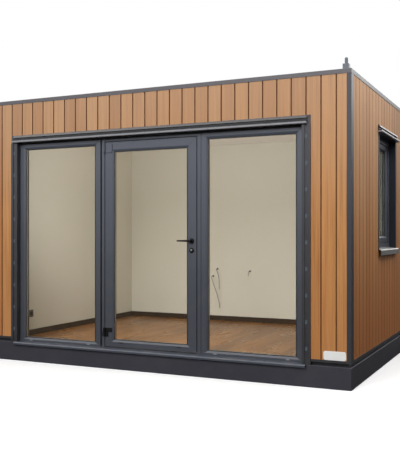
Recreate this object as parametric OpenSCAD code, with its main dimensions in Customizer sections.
// Garden office container: a flat-roofed cabin on a steel base frame, with upright board
// cladding, a glazed front screen with a hinged door, and one window in its right-hand wall.
// Millimetres. Origin on the ground at the middle of the footprint, front facing -Y, +Z up.

/* [Overall] */
// Width of the front wall from the screen to each corner
pier_w = 440; // [300:5:900]
// Depth over the base frame
foot_d = 3000; // [2600:10:4000]
// Height from the top of the screen to the tops of the walls
wall_head_h = 235; // [160:1:500]

/* [Base and floor] */
// Height of the base beams
plinth_h = 195; // [185:1:240]
// Width of a base beam's flanges
beam_flange = 90; // [70:1:110]
// Steel thickness of the base beams
beam_t = 5; // [3:0.5:8]
// Width of a floor joist
joist_w = 50; // [40:1:80]
// Distance between floor joists
joist_pitch = 600; // [400:10:800]
// Thickness of the floor
floor_t = 30; // [22:1:40]
// Drop from the top of the base beams to the floor
floor_drop = 20; // [10:1:30]
// Height of the skirting
skirting_h = 65; // [45:1:100]
// Thickness of the skirting
skirting_t = 15; // [9:1:22]

/* [Walls] */
// Thickness of the wall panels
wall_t = 100; // [90:1:130]
// Thickness of the cladding with its battens
clad_t = 30; // [20:1:40]
// Thickness of folded sheet trims
sheet_t = 3; // [2:0.5:4]
// Height of the shadow gap above the base beams
gap_h = 32; // [20:1:45]
// Height of the flashing under the cladding
flashing_h = 23; // [15:1:35]
// Leaf of the corner trims on the front and rear
corner_leaf = 41; // [35:1:80]
// Leaf of the corner trims on the side walls
corner_side_leaf = 85; // [40:1:100]

/* [Roof] */
// Height from the wall tops to the top of the roof beams
roof_beam_h = 217; // [200:1:260]
// Width of the roof beams
roof_beam_w = 60; // [45:1:75]
// Thickness of the roof panel
roof_panel_t = 120; // [80:1:140]
// Thickness of the roof covering at its low rear edge
cover_t = 12; // [6:1:20]
// Fall of the roof covering from front to rear
roof_fall = 32; // [10:1:40]
// Depth of the coping's outer drop
coping_drop = 40; // [25:1:60]
// Depth of the coping's inner drop
inner_drop = 32; // [15:1:36]
// Side of a lifting block
lift_block_w = 54; // [50:1:70]
// Height of a lifting block
lift_block_h = 50; // [30:1:70]
// Radius of a lifting pin
lift_pin_r = 15; // [10:0.5:20]
// Straight length of a lifting pin
lift_pin_len = 45; // [30:1:70]
// Distance of a lifting pin from the outer faces
lift_inset = 58; // [48:1:75]

/* [Front screen] */
// Width of the screen over its frames
screen_w = 3120; // [2800:10:3300]
// Height of the screen's frames
screen_h = 2087; // [1950:1:2150]
// Depth from the trim's face to the frames
reveal = 47; // [35:1:65]
// Depth of the frames
frame_d = 85; // [78:1:95]
// Face width of a fixed frame with its bead
fixed_bar_w = 67; // [60:1:90]
// Face height of a fixed frame's bottom rail with its bead
fixed_low_w = 38; // [34:1:90]
// Gap between the door frame and a fixed frame
coupling_gap = 3; // [1:0.5:6]
// Face width of the flange of the opening trims
flange_w = 80; // [70:1:100]
// Width of the two raised ribs along the jamb trims
rib_w = 27; // [20:1:32]
// Height of the raised ribs
rib_t = 8; // [4:1:12]
// Packing gap between frames and trims
fit_gap = 2; // [1:0.5:4]

/* [Glazing] */
// Width of the sloped glazing beads
bead_w = 20; // [15:1:32]
// Depth from a frame's face to its glass
glass_set = 13; // [8:1:16]
// Thickness of a sealed glass unit
glass_t = 24; // [20:1:28]
// Depth of the glass pocket
pocket = 15; // [12:1:20]
// Gap between the edge of the glass and its pocket
pocket_gap = 3; // [2:0.5:5]

/* [Door] */
// Width of the door leaf
leaf_w = 1014; // [900:1:1100]
// Thickness of the door leaf
leaf_t = 60; // [55:1:68]
// Running gap round the door leaf
leaf_gap = 8; // [7:0.5:12]
// Distance of the door's middle to the right of the screen's middle
door_shift = 8; // [-40:1:40]
// Face width of the door frame's lock jamb
jamb_w = 38; // [35:1:60]
// Width of the door frame's hinge jamb
hinge_jamb_w = 46; // [44:1:70]
// Width of the rebate along the hinge jamb's outer edge
rebate_w = 15; // [8:1:18]
// Depth of the rebate along the hinge jamb's outer edge
rebate_d = 30; // [10:1:40]
// Face height of the door frame's head
door_head_h = 34; // [25:1:50]
// Width of the door's stiles
stile_w = 101; // [95:1:130]
// Height of the door's top rail
top_rail_h = 96; // [80:1:120]
// Height of the door's bottom rail
bottom_rail_h = 68; // [60:1:120]
// Width of the stop behind the leaf
stop_w = 12; // [8:1:16]
// Gap between the leaf and its stop
stop_gap = 5; // [5:0.5:8]

/* [Hinges and lock] */
// Radius of a hinge knuckle
knuckle_r = 9; // [7:0.5:11]
// Radius of a hinge pin
hinge_pin_r = 4; // [3:0.5:5]
// Height of a hinge
hinge_h = 88; // [60:1:110]
// Width of a hinge flap on the leaf
leaf_flap_w = 84; // [50:1:95]
// Width of a hinge flap on the frame
frame_flap_w = 24; // [18:1:26]
// Thickness of a hinge flap
flap_t = 6; // [5:0.5:8]
// Depth to which a knuckle is let into its flap
flap_bite = 2; // [1:0.5:3]
// Running clearance round a hinge pin
pin_gap = 0.1; // [0.05:0.05:0.1]
// Gap between the two halves of a hinge
knuckle_gap = 1; // [0.5:0.5:2]
// Height of the lower hinge above the foot of the leaf
low_hinge_z = 98; // [60:1:200]
// Drop of the upper hinge's top from the top of the leaf
high_hinge_drop = 18; // [10:1:200]
// Height of the handle's spindle above the foot of the leaf
handle_z = 1056; // [950:1:1150]
// Distance of the spindle from the leaf's closing edge
backset = 49; // [42:1:60]
// Length of the lever
lever_len = 133; // [100:1:150]
// Radius of the lever's root
lever_r = 11; // [9:0.5:14]
// Radius of the lever's tip
lever_tip_r = 7; // [5:0.5:9]
// Thickness of the lever
lever_t = 12; // [8:0.5:16]
// Clear space between the leaf and the lever
lever_space = 36; // [30:1:45]
// Radius of the spindle's neck
neck_r = 8; // [6:0.5:10]
// Radius of a rose
rose_r = 25; // [20:0.5:28]
// Thickness of a rose
rose_t = 8; // [5:0.5:12]
// Distance from the spindle down to the lock cylinder
lock_drop = 90; // [70:1:110]
// Radius of the lock cylinder
cylinder_r = 9; // [7:0.5:12]
// Length of the lock cylinder in front of its rose
cylinder_nose = 4; // [2:0.5:8]
// Clearance round the spindle's neck
bore_gap = 0.5; // [0.3:0.1:1]

/* [Drip and sill] */
// Reach of the drip heads from the trim
drip_out = 36; // [30:1:50]
// Radius of the drip heads' nose
nose_r = 15; // [10:0.5:17]
// Height by which the nose stands over and under the plate behind it
nose_lip = 1.5; // [1:0.5:3]
// Height of the slot above the nose
slot_h = 25; // [15:1:35]
// Depth of the slot's back from the trim
slot_back = 8; // [5:1:14]
// Reach of the cap above the slot
cap_out = 22; // [16:1:28]
// Height of the cap above the slot
cap_h = 22; // [14:1:30]
// Side overlap of a drip head past the opening
drip_overlap = 48; // [20:1:78]
// Reach of the sills from the trim
sill_out = 28; // [15:1:45]
// Fall of a sill from frame to nose
sill_fall = 9; // [5:1:9]
// Depth of the front sill's lip
sill_lip = 29; // [20:1:40]
// Width and height of the sloped edge over a sill's lip
sill_bend = 10; // [4:1:10]
// Thickness of a sill's plate
sill_t = 4; // [3:0.5:6]
// Height of a sill's seat under the frames
sill_seat = 13; // [13:1:20]
// Side overlap of a sill past the opening
sill_overlap = 38; // [0:1:60]

/* [Side window] */
// Width of the window over its frame
win_w = 840; // [600:10:1000]
// Height of the window over its frame
win_h = 1142; // [700:1:1400]
// Place of the window's middle, rearwards from the middle of the wall
win_y = 50; // [-200:10:200]
// Depth from the trim's face to the window's frame
win_reveal = 70; // [45:1:72]
// Face width of the window's outer frame
win_bar_w = 52; // [40:1:70]
// Depth of the window's outer frame
win_frame_d = 60; // [57:1:62]
// Face width of the window's sash with its bead
sash_bar_w = 66; // [55:1:80]
// Gap between sash and frame
sash_gap = 4; // [2:0.5:6]
// Depth from the outer frame's face to the sash
sash_set = 8; // [4:1:10]
// Thickness of the stop behind the sash
sash_stop_t = 10; // [6:1:12]
// Overlap of the stop behind the sash
sash_lap = 6; // [4:1:12]
// Face width of the flange of the window's trim
win_flange_w = 40; // [30:1:60]
// Depth of the lip of the window's sill
win_sill_lip = 60; // [20:1:80]

/* [Socket] */
// Side of the wall socket's plate
socket_w = 81; // [75:1:90]
// Thickness of the wall socket's plate
socket_t = 10; // [6:1:14]
// Height of the wall socket above the floor
socket_rise = 250; // [150:1:450]
// Distance of the wall socket from the room's front edge
socket_y = 470; // [250:10:900]

/* [Cable tails] */
// Diameter of the cable tails
tail_d = 8; // [5:0.5:12]
// Radius of a cable grommet
grommet_r = 13; // [10:0.5:18]
// Thickness of a cable grommet
grommet_t = 4; // [2:0.5:8]

/* [Hidden] */

$fn = 48;
steel = "#383a44";
frame_grey = "#4a4c55";
wood = "#b9875a";
lining = "#d8d2c2";
clear_glass = "#b9c4bf";

// Half sizes of the nested shells, from the base frame inwards
plinth_hx = screen_w / 2 + pier_w;
plinth_hy = foot_d / 2;
clad_hx = plinth_hx - sheet_t;
clad_hy = plinth_hy - sheet_t;
wall_hx = clad_hx - clad_t;
wall_hy = clad_hy - clad_t;
room_hx = wall_hx - wall_t;
room_hy = wall_hy - wall_t;
roof_hx = wall_hx - roof_beam_w;
roof_hy = wall_hy - roof_beam_w;

// Levels
floor_z = plinth_h - floor_drop;
joist_h = floor_z - floor_t;
flashing_z = plinth_h + gap_h;
clad_z = flashing_z + flashing_h;

// Front opening, measured from the middle and from the ground
screen_z = plinth_h + sill_seat;
screen_top = screen_z + screen_h;
trim_hx = screen_w / 2 + fit_gap;
trim_top = screen_top + fit_gap;
open_hx = trim_hx + sheet_t;
open_top = trim_top + sheet_t;

// Roof levels
wall_top = screen_top + wall_head_h;
panel_top = wall_top + roof_panel_t;
beam_top = wall_top + roof_beam_h;
roof_z = beam_top + sheet_t;
coping_z = roof_z - coping_drop;
coping_w = sheet_t + clad_t + roof_beam_w + sheet_t;

// Door
leaf_hw = leaf_w / 2;
leaf_x0 = door_shift - leaf_hw;
leaf_x1 = door_shift + leaf_hw;
jamb_x0 = leaf_x0 - leaf_gap;
jamb_x1 = leaf_x1 + leaf_gap;
head_z = screen_top - door_head_h;
leaf_z = screen_z + leaf_gap;
leaf_h = head_z - leaf_gap - leaf_z;
stop_y = leaf_t + stop_gap;

// Fixed units left and right of the door: left edge and width
left_pane_w = screen_w / 2 + jamb_x0 - hinge_jamb_w - coupling_gap;
right_pane_x = jamb_x1 + jamb_w + coupling_gap;
fixed_panes = [[-screen_w / 2, left_pane_w], [right_pane_x, screen_w / 2 - right_pane_x]];

// Hinge axis in the front opening: the middle of the hinge-side gap, outside the leaf's face
axis_x = leaf_x0 - leaf_gap / 2;
axis_y = reveal - flap_t - knuckle_r + flap_bite;
hinge_levels = [leaf_z + low_hinge_z, leaf_z + leaf_h - high_hinge_drop - hinge_h];

// Hinge halves, from the hinge axis
half_knuckle = (hinge_h - knuckle_gap) / 2;
flap_y = reveal - axis_y;

// Handle and lock
spindle_x = leaf_x1 - backset;
spindle_z = leaf_z + handle_z;
neck_len = lever_space + lever_t;

// Middle of a drip head's nose, from the trim's face
nose_y = nose_r - drip_out;

// Side window opening: the outer edge of its trim lines up with that of the front trim
win_hw = win_w / 2;
win_trim_hw = win_hw + fit_gap;
win_trim_top = trim_top + flange_w - win_flange_w;
win_z = win_trim_top - fit_gap - win_h;
win_seat_z = win_z - sill_seat;
win_open_hw = win_trim_hw + sheet_t;
win_open_top = win_trim_top + sheet_t;
sash_in = win_bar_w + sash_gap;
sash_w = win_w - 2 * sash_in;
sash_h = win_h - 2 * sash_in;
sash_d = win_frame_d - sash_set - sash_stop_t;

// Where the cable tails leave the rear wall: x, and height above the floor
high_exit = [-526, 693];
low_exit = [-590, 595];
stub_exit = [-56, 670];

// Routes of the cable tails from their grommets: along the wall, off the wall, and up
high_route = [[0, 0, 0], [0, -30, 0], [4, -47, -4], [13, -62, -15], [25, -72, -32], [37, -77, -54],
              [46, -78, -80], [52, -77, -108], [55, -75, -137], [56, -72, -166], [55, -69, -195],
              [54, -66, -224], [52, -63, -253], [51, -61, -273]];
low_route = [[0, 0, 0], [0, -30, 0], [2, -48, -5], [8, -64, -18], [16, -74, -38], [26, -79, -64],
             [36, -80, -92], [47, -79, -120], [58, -77, -150], [69, -75, -180], [79, -72, -210],
             [88, -69, -240], [96, -66, -270], [103, -63, -300], [109, -60, -330], [114, -57, -360],
             [117, -54, -390], [119, -52, -420]];
stub_route = [[0, 0, 0], [0, -30, 0], [0, -46, -4], [1, -58, -13], [2, -65, -26], [2, -68, -42],
              [2, -69, -60]];

// Flats round a cable tail
tail_sides = 8;

// Turn of each of the two folds along a sill's sloped edge
fold_turn = 45;

// Overlap that carries a cut clear through what it cuts
over = 1;

// A block between two opposite corners
module block(low, high) {
  translate(low) cube(high - low);
}

// A rectangular ring of a given width inside the half sizes hx and hy
module ring(hx, hy, width, z0, z1) {
  translate([0, 0, z0]) linear_extrude(z1 - z0) difference() {
    square([2 * hx, 2 * hy], center = true);
    square([2 * (hx - width), 2 * (hy - width)], center = true);
  }
}

// The front and rear runs of a ring, mitred at its corners
module long_runs(width) {
  intersection() {
    children();
    for (side = [0, 1]) mirror([0, side, 0])
      translate([0, 0, -over]) linear_extrude(roof_z + 2 * over)
        polygon([[-plinth_hx, -plinth_hy], [plinth_hx, -plinth_hy],
                 [plinth_hx - width, width - plinth_hy], [width - plinth_hx, width - plinth_hy]]);
  }
}

// The left and right runs of a ring, mitred at its corners
module end_runs(width) {
  intersection() {
    children();
    for (side = [0, 1]) mirror([side, 0, 0])
      translate([0, 0, -over]) linear_extrude(roof_z + 2 * over)
        polygon([[plinth_hx, -plinth_hy], [plinth_hx, plinth_hy],
                 [plinth_hx - width, plinth_hy - width], [plinth_hx - width, width - plinth_hy]]);
  }
}

// The front wall's outer plane: x along the wall, y inwards from the trims' face
module at_front() {
  translate([0, -plinth_hy, 0]) children();
}

// The right-hand wall's outer plane, centred on its window
module at_side() {
  rotate([0, 0, 90]) translate([win_y, -plinth_hx, 0]) children();
}

// A section drawn in y and z, run along x about the middle
module run_along_x(half_len) {
  translate([-half_len, 0, 0]) rotate([90, 0, 90]) linear_extrude(2 * half_len) children();
}

// An outline drawn in x and z, run along y from y0 to y1
module run_along_y(y0, y1) {
  translate([0, y1, 0]) rotate([90, 0, 0]) linear_extrude(y1 - y0) children();
}

// Base and floor
module base_ring() {
  ring(plinth_hx, plinth_hy, beam_t, 0, plinth_h);
  ring(plinth_hx, plinth_hy, beam_flange, 0, beam_t);
  ring(plinth_hx, plinth_hy, beam_flange, plinth_h - beam_t, plinth_h);
}

module base_long_beams() {
  color(steel) long_runs(beam_flange) base_ring();
}

module base_end_beams() {
  color(steel) end_runs(beam_flange) base_ring();
}

// A joist stands on the ground and is notched over the lower flanges of the long beams
module floor_joist() {
  web = plinth_hy - beam_t;
  notch = plinth_hy - beam_flange;
  run_along_x(joist_w / 2)
    polygon([[-web, beam_t], [-notch, beam_t], [-notch, 0], [notch, 0], [notch, beam_t],
             [web, beam_t], [web, joist_h], [-web, joist_h]]);
}

module floor_joists() {
  side_count = floor((plinth_hx - beam_flange - joist_w) / joist_pitch);
  color("#8d7350") for (i = [-side_count:side_count]) translate([i * joist_pitch, 0, 0]) floor_joist();
}

module floor_deck() {
  color("#96785a")
    block([beam_t - plinth_hx, beam_t - plinth_hy, joist_h],
          [plinth_hx - beam_t, plinth_hy - beam_t, floor_z]);
}

module skirting() {
  color("#403428") difference() {
    ring(room_hx, room_hy, skirting_t, floor_z, floor_z + skirting_h);
    block([-open_hx, -room_hy - over, floor_z - over],
          [open_hx, skirting_t - room_hy + over, floor_z + skirting_h + over]);
  }
}

// Wall panels
module front_wall_side() {
  block([open_hx, -wall_hy, plinth_h], [wall_hx, -room_hy, wall_top]);
}

module front_wall_left() {
  color(lining) mirror([1, 0, 0]) front_wall_side();
}

module front_wall_right() {
  color(lining) front_wall_side();
}

module front_wall_head() {
  color(lining) block([-open_hx, -wall_hy, open_top], [open_hx, -room_hy, wall_top]);
}

module rear_wall() {
  color(lining) block([-wall_hx, room_hy, plinth_h], [wall_hx, wall_hy, wall_top]);
}

module side_wall() {
  block([room_hx, -room_hy, plinth_h], [wall_hx, room_hy, wall_top]);
}

module left_wall() {
  color(lining) mirror([1, 0, 0]) side_wall();
}

module right_wall() {
  color(lining) difference() {
    side_wall();
    window_cut();
  }
}

module window_cut() {
  at_side() block([-win_open_hw, -over, win_seat_z],
                  [win_open_hw, sheet_t + clad_t + wall_t + over, win_open_top]);
}

// Cladding
module front_cladding_side() {
  block([open_hx, -clad_hy, clad_z], [clad_hx, -wall_hy, beam_top]);
}

module front_cladding_left() {
  color(wood) mirror([1, 0, 0]) front_cladding_side();
}

module front_cladding_right() {
  color(wood) front_cladding_side();
}

module front_cladding_head() {
  color(wood) block([-open_hx, -clad_hy, open_top], [open_hx, -wall_hy, beam_top]);
}

module rear_cladding() {
  color(wood) block([-clad_hx, wall_hy, clad_z], [clad_hx, clad_hy, beam_top]);
}

module side_cladding() {
  block([wall_hx, -wall_hy, clad_z], [clad_hx, wall_hy, beam_top]);
}

module left_cladding() {
  color(wood) mirror([1, 0, 0]) side_cladding();
}

module right_cladding() {
  color(wood) difference() {
    side_cladding();
    window_cut();
  }
}

// An angle over each corner of the cladding
module corner_trims() {
  color(steel) intersection() {
    ring(plinth_hx, plinth_hy, sheet_t, clad_z, coping_z);
    for (sx = [0, 1], sy = [0, 1]) mirror([sx, 0, 0]) mirror([0, sy, 0])
      block([plinth_hx - corner_leaf, plinth_hy - corner_side_leaf, 0], [plinth_hx, plinth_hy, roof_z]);
  }
}

// An angle under the cladding that leaves the shadow gap open below it
module base_flashing() {
  color(steel) difference() {
    union() {
      ring(plinth_hx, plinth_hy, sheet_t, flashing_z, clad_z);
      ring(plinth_hx, plinth_hy, sheet_t + clad_t, clad_z - sheet_t, clad_z);
    }
    block([-trim_hx - flange_w, -plinth_hy - over, flashing_z - over],
          [trim_hx + flange_w, 0, clad_z + over]);
  }
}

// Roof
module roof_long_beams() {
  color("#9c8a6c") for (side = [0, 1]) mirror([0, side, 0])
    block([-wall_hx, roof_hy, wall_top], [wall_hx, wall_hy, beam_top]);
}

module roof_end_beams() {
  color("#9c8a6c") for (side = [0, 1]) mirror([side, 0, 0])
    block([roof_hx, -roof_hy, wall_top], [wall_hx, roof_hy, beam_top]);
}

module roof_panel() {
  color(lining) block([-roof_hx, -roof_hy, wall_top], [roof_hx, roof_hy, panel_top]);
}

module roof_covering() {
  color("#4d4e50") run_along_x(roof_hx)
    polygon([[-roof_hy, panel_top], [roof_hy, panel_top], [roof_hy, panel_top + cover_t],
             [-roof_hy, panel_top + cover_t + roof_fall]]);
}

// A folded capping over the cladding and the roof beams
module coping_ring() {
  ring(plinth_hx, plinth_hy, coping_w, beam_top, roof_z);
  ring(plinth_hx, plinth_hy, sheet_t, coping_z, roof_z);
  ring(roof_hx, roof_hy, sheet_t, roof_z - inner_drop, roof_z);
}

module coping_long() {
  color("#80787f") long_runs(coping_w) coping_ring();
}

module coping_ends() {
  color("#80787f") end_runs(coping_w) coping_ring();
}

module lifting_pins() {
  color("#5c626c") for (sx = [-1, 1], sy = [-1, 1])
    translate([sx * (plinth_hx - lift_inset), sy * (plinth_hy - lift_inset), roof_z]) {
      translate([-lift_block_w / 2, -lift_block_w / 2, 0])
        cube([lift_block_w, lift_block_w, lift_block_h]);
      translate([0, 0, lift_block_h]) {
        cylinder(r = lift_pin_r, h = lift_pin_len);
        translate([0, 0, lift_pin_len]) sphere(r = lift_pin_r);
      }
    }
}

// Folded trims round an opening: a flange on the cladding and a return into the reveal
module trim_jambs(half_w, z0, z1, flange, depth) {
  for (side = [0, 1]) mirror([side, 0, 0]) intersection() {
    union() {
      block([half_w, 0, z0], [half_w + flange, sheet_t, z1 + flange]);
      block([half_w, 0, z0], [half_w + sheet_t, depth, z1 + flange]);
    }
    run_along_y(-over, depth + over)
      polygon([[half_w, z0], [half_w + flange, z0], [half_w + flange, z1 + flange], [half_w, z1]]);
  }
}

module trim_head(half_w, z1, flange, depth) {
  wide = half_w + flange;
  intersection() {
    union() {
      block([-wide, 0, z1], [wide, sheet_t, z1 + flange]);
      block([-wide, 0, z1], [wide, depth, z1 + sheet_t]);
    }
    run_along_y(-over, depth + over)
      polygon([[-half_w, z1], [half_w, z1], [wide, z1 + flange], [-wide, z1 + flange]]);
  }
}

// Ribs along both edges of a jamb's flange, from the sill to the drip head
module jamb_ribs() {
  for (side = [0, 1], x = [trim_hx, trim_hx + flange_w - rib_w]) mirror([side, 0, 0])
    block([x, -rib_t, screen_z], [x + rib_w, 0, trim_top]);
}

module front_trim_jambs() {
  color(frame_grey) at_front() {
    trim_jambs(trim_hx, plinth_h, trim_top, flange_w, reveal);
    jamb_ribs();
  }
}

module front_trim_head() {
  color(frame_grey) at_front() trim_head(trim_hx, trim_top, flange_w, reveal);
}

// A drip head: a round nose that throws water clear, a slot, and a sloped cap above it
module drip_plate() {
  slot_z = 2 * nose_r - nose_lip;
  cap_z = slot_z + slot_h;
  polygon([[0, nose_lip], [nose_y, nose_lip], [nose_y, slot_z], [-slot_back, slot_z],
           [-slot_back, cap_z], [-cap_out, cap_z], [-slot_back, cap_z + cap_h], [0, cap_z + cap_h]]);
}

module drip_head(half_w, z) {
  run_along_x(half_w) translate([0, z]) drip_plate();
  translate([-half_w, nose_y, z + nose_r]) rotate([0, 90, 0]) cylinder(r = nose_r, h = 2 * half_w);
}

module head_drip() {
  color(frame_grey) at_front() drip_head(trim_hx + drip_overlap, trim_top);
}

// A sill: a seat under the frames, a plate that falls outwards, a sloped edge, and a lip
module sill_section(depth, seat_d, z0, lip) {
  z1 = z0 + sill_seat;
  nose_z = z1 - sill_fall;
  inner_bend = sill_bend + sill_t * tan(fold_turn / 2);
  polygon([[depth + seat_d, z0], [depth + seat_d, z1], [depth, z1], [sill_bend - sill_out, nose_z],
           [-sill_out, nose_z - sill_bend], [-sill_out, nose_z - lip],
           [sill_t - sill_out, nose_z - lip], [sill_t - sill_out, nose_z - inner_bend],
           [inner_bend - sill_out, nose_z - sill_t], [depth, z1 - sill_t], [depth, z0]]);
}

module sill(half_w, depth, seat_d, z0, lip) {
  wide = half_w + sill_overlap;
  low = z0 - lip - sill_fall - over;
  intersection() {
    run_along_x(wide) sill_section(depth, seat_d, z0, lip);
    union() {
      block([-half_w, -over, low], [half_w, depth + seat_d + over, z0 + sill_seat + over]);
      block([-wide, -sill_out - over, low], [wide, 0, z0 + sill_seat + over]);
    }
  }
}

module front_sill() {
  color("#6f727a") at_front() sill(screen_w / 2, reveal, frame_d, plinth_h, sill_lip);
}

// The section of a glazed bar: x from its outer edge to the sight line, y inwards
function bar_section(w, depth) =
  let (back = glass_set + glass_t)
  [[0, 0], [w - bead_w, 0], [w, glass_set], [w - pocket, glass_set], [w - pocket, back],
   [w, back], [w - bead_w, depth], [0, depth]];

// One bar run up along z, mitred to the face widths of the bars that it meets
module bar(len, w, depth, low_w, high_w) {
  intersection() {
    linear_extrude(len) polygon(bar_section(w, depth));
    run_along_y(-over, depth + over)
      polygon([[0, 0], [w, low_w], [w, len - high_w], [0, len]]);
  }
}

// The two upright bars of a frame of overall size w by h
module stiles(w, h, depth, side_w, low_w, high_w) {
  bar(h, side_w, depth, low_w, high_w);
  translate([w, 0, 0]) mirror([1, 0, 0]) bar(h, side_w, depth, low_w, high_w);
}

// The lower and upper bars of a frame of overall size w by h
module rails(w, h, depth, side_w, low_w, high_w) {
  mirror([0, 0, 1]) rotate([0, 90, 0]) bar(w, low_w, depth, side_w, side_w);
  translate([0, 0, h]) rotate([0, 90, 0]) bar(w, high_w, depth, side_w, side_w);
}

// The glass of such a frame, seated in its pockets
module pane(w, h, side_w, low_w, high_w) {
  edge = pocket - pocket_gap;
  block([side_w - edge, glass_set, low_w - edge],
        [w - side_w + edge, glass_set + glass_t, h - high_w + edge]);
}

// The face of the screen's frames at a place along the front
module at_screen(x) {
  at_front() translate([x, reveal, 0]) children();
}

module fixed_frame_stiles() {
  color(frame_grey) for (place = fixed_panes) at_screen(place[0]) translate([0, 0, screen_z])
    stiles(place[1], screen_h, frame_d, fixed_bar_w, fixed_low_w, fixed_bar_w);
}

module fixed_frame_rails() {
  color(frame_grey) for (place = fixed_panes) at_screen(place[0]) translate([0, 0, screen_z])
    rails(place[1], screen_h, frame_d, fixed_bar_w, fixed_low_w, fixed_bar_w);
}

module fixed_glass() {
  color(clear_glass, 0.4) for (place = fixed_panes) at_screen(place[0]) translate([0, 0, screen_z])
    pane(place[1], screen_h, fixed_bar_w, fixed_low_w, fixed_bar_w);
}

// A jamb of the door frame with its stop, x outwards from the gap round the leaf
module door_jamb(w) {
  block([0, 0, screen_z], [w, frame_d, screen_top]);
  block([-stop_w, stop_y, screen_z], [0, frame_d, head_z - stop_w]);
}

module door_frame_jambs() {
  color(frame_grey) {
    at_screen(jamb_x1) door_jamb(jamb_w);
    at_screen(jamb_x0) mirror([1, 0, 0]) difference() {
      door_jamb(hinge_jamb_w);
      block([hinge_jamb_w - rebate_w, -over, screen_z - over],
            [hinge_jamb_w + over, rebate_d, screen_top + over]);
    }
  }
}

module door_frame_head() {
  color(frame_grey) at_screen(0) {
    block([jamb_x0, 0, head_z], [jamb_x1, frame_d, screen_top]);
    block([jamb_x0, stop_y, head_z - stop_w], [jamb_x1, frame_d, head_z]);
  }
}

// Door leaf
module at_leaf() {
  at_screen(leaf_x0) translate([0, 0, leaf_z]) children();
}

module at_hinges() {
  at_front() for (z = hinge_levels) translate([axis_x, axis_y, z]) children();
}

module along_spindle() {
  at_screen(spindle_x) translate([0, 0, spindle_z]) rotate([-90, 0, 0]) children();
}

module door_stiles() {
  color(frame_grey) difference() {
    at_leaf() stiles(leaf_w, leaf_h, leaf_t, stile_w, bottom_rail_h, top_rail_h);
    along_spindle() translate([0, 0, -over]) cylinder(r = neck_r + bore_gap, h = leaf_t + 2 * over);
  }
}

module door_rails() {
  color(frame_grey) at_leaf() rails(leaf_w, leaf_h, leaf_t, stile_w, bottom_rail_h, top_rail_h);
}

module door_glass() {
  color(clear_glass, 0.4) at_leaf() pane(leaf_w, leaf_h, stile_w, bottom_rail_h, top_rail_h);
}

// Lift-off hinges: the frame's half is the lower knuckle with its pin, the leaf's half the upper
module hinge_frame_halves() {
  color("#26272b") at_hinges() {
    cylinder(r = knuckle_r, h = half_knuckle);
    cylinder(r = hinge_pin_r, h = hinge_h);
    block([-leaf_gap / 2 - frame_flap_w, flap_y - flap_t, 0], [0, flap_y, half_knuckle]);
  }
}

module hinge_leaf_halves() {
  color("#26272b") at_hinges() translate([0, 0, half_knuckle + knuckle_gap]) difference() {
    union() {
      cylinder(r = knuckle_r, h = half_knuckle);
      block([0, flap_y - flap_t, 0], [leaf_gap / 2 + leaf_flap_w, flap_y, half_knuckle]);
    }
    translate([0, 0, -over]) cylinder(r = hinge_pin_r + pin_gap, h = hinge_h);
  }
}

// Roses round the spindle and the lock cylinder, on both faces of the leaf
module rose_pair() {
  for (z = [-rose_t, leaf_t]) translate([0, 0, z]) cylinder(r = rose_r, h = rose_t);
}

module door_lock() {
  color("#2b2c30") {
    difference() {
      along_spindle() rose_pair();
      along_spindle() translate([0, 0, -rose_t - over])
        cylinder(r = neck_r + bore_gap, h = leaf_t + 2 * (rose_t + over));
    }
    along_spindle() translate([0, lock_drop, 0]) {
      rose_pair();
      translate([0, 0, -rose_t - cylinder_nose]) cylinder(r = cylinder_r, h = rose_t + cylinder_nose);
      translate([0, 0, leaf_t]) cylinder(r = cylinder_r, h = rose_t + cylinder_nose);
    }
  }
}

// A lever on each face of the leaf, on one spindle
module lever() {
  linear_extrude(lever_t) {
    circle(r = lever_r);
    translate([-lever_len, 0]) circle(r = lever_tip_r);
    polygon([[0, lever_r], [-lever_len, lever_tip_r], [-lever_len, -lever_tip_r], [0, -lever_r]]);
  }
}

module door_handle() {
  color("#1d1e21") along_spindle() {
    translate([0, 0, -neck_len]) cylinder(r = neck_r, h = leaf_t + 2 * neck_len);
    translate([0, 0, -neck_len]) lever();
    translate([0, 0, leaf_t + lever_space]) lever();
  }
}

// Side window
module at_window() {
  at_side() translate([-win_hw, win_reveal, win_z]) children();
}

module at_sash() {
  at_window() translate([sash_in, sash_set, sash_in]) children();
}

module side_window_trim() {
  color(frame_grey) at_side() {
    trim_jambs(win_trim_hw, win_seat_z, win_trim_top, win_flange_w, win_reveal);
    trim_head(win_trim_hw, win_trim_top, win_flange_w, win_reveal);
  }
}

module side_window_drip() {
  color(frame_grey) at_side() drip_head(win_trim_hw + drip_overlap, win_trim_top);
}

module side_window_sill() {
  color("#8a8c92") at_side() sill(win_hw, win_reveal, win_frame_d, win_seat_z, win_sill_lip);
}

// The outer frame, with a stop behind the sash that it carries
module side_window_frame() {
  back = win_bar_w + sash_gap + sash_lap;
  color(frame_grey) at_window() difference() {
    block([0, 0, 0], [win_w, win_frame_d, win_h]);
    block([win_bar_w, -over, win_bar_w], [win_w - win_bar_w, sash_set + sash_d, win_h - win_bar_w]);
    block([back, 0, back], [win_w - back, win_frame_d + over, win_h - back]);
  }
}

module side_window_sash() {
  color(frame_grey) at_sash() {
    stiles(sash_w, sash_h, sash_d, sash_bar_w, sash_bar_w, sash_bar_w);
    rails(sash_w, sash_h, sash_d, sash_bar_w, sash_bar_w, sash_bar_w);
  }
}

module side_window_glass() {
  color(clear_glass, 0.4) at_sash() pane(sash_w, sash_h, sash_bar_w, sash_bar_w, sash_bar_w);
}

module wall_socket() {
  color("#43454a") translate([-room_hx, socket_y - room_hy, floor_z + socket_rise])
    translate([0, -socket_w / 2, -socket_w / 2]) cube([socket_t, socket_w, socket_w]);
}

// Grommets where cables leave the rear wall
module at_exit(exit) {
  translate([exit[0], room_hy, floor_z + exit[1]]) children();
}

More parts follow.
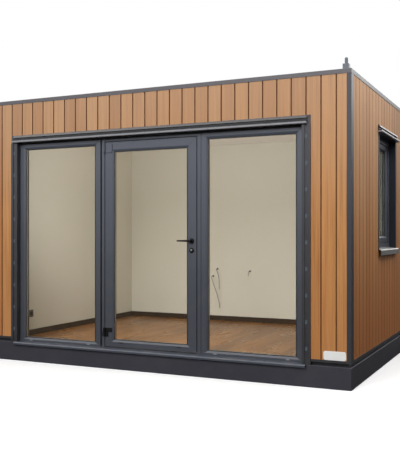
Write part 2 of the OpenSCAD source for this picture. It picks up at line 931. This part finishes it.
module cable_grommets() {
  color("#2b2c30") for (exit = [high_exit, low_exit, stub_exit])
    at_exit(exit) rotate([90, 0, 0]) cylinder(r = grommet_r, h = grommet_t);
}

// A round tube of flats along a route that never runs straight along the wall
function unit(v) = v / norm(v);

function route_direction(route, i) =
  i == 0 ? unit(route[1] - route[0]) : unit(route[min(i + 1, len(route) - 1)] - route[i - 1]);

function route_ring(route, i) =
  let (along = route_direction(route, i), side = unit(cross(along, [1, 0, 0])), up = cross(along, side))
  [for (k = [0:tail_sides - 1])
     route[i] + tail_d / 2 * (cos(360 * k / tail_sides) * side + sin(360 * k / tail_sides) * up)];

module cable_tail(exit, route) {
  last = len(route) - 1;
  points = [for (i = [0:last]) each route_ring(route, i)];
  walls = [for (i = [0:last - 1], k = [0:tail_sides - 1])
             let (a = i * tail_sides + k, b = i * tail_sides + (k + 1) % tail_sides)
             [a, a + tail_sides, b + tail_sides, b]];
  start = [for (k = [0:tail_sides - 1]) k];
  end = [for (k = [tail_sides - 1:-1:0]) last * tail_sides + k];
  color("#8f9092") at_exit(exit) translate([0, -grommet_t, 0])
    polyhedron(points, concat(walls, [start, end]));
}

module cable_tail_high() {
  cable_tail(high_exit, high_route);
}

module cable_tail_low() {
  cable_tail(low_exit, low_route);
}

module cable_stub() {
  cable_tail(stub_exit, stub_route);
}

base_long_beams();
base_end_beams();
floor_joists();
floor_deck();
skirting();
front_wall_left();
front_wall_right();
front_wall_head();
rear_wall();
left_wall();
right_wall();
front_cladding_left();
front_cladding_right();
front_cladding_head();
rear_cladding();
left_cladding();
right_cladding();
corner_trims();
base_flashing();
roof_long_beams();
roof_end_beams();
roof_panel();
roof_covering();
coping_long();
coping_ends();
lifting_pins();
front_trim_jambs();
front_trim_head();
head_drip();
front_sill();
fixed_frame_stiles();
fixed_frame_rails();
fixed_glass();
door_frame_jambs();
door_frame_head();
hinge_frame_halves();
door_stiles();
door_rails();
door_glass();
hinge_leaf_halves();
door_lock();
door_handle();
side_window_trim();
side_window_drip();
side_window_sill();
side_window_frame();
side_window_sash();
side_window_glass();
wall_socket();
cable_grommets();
cable_tail_high();
cable_tail_low();
cable_stub();
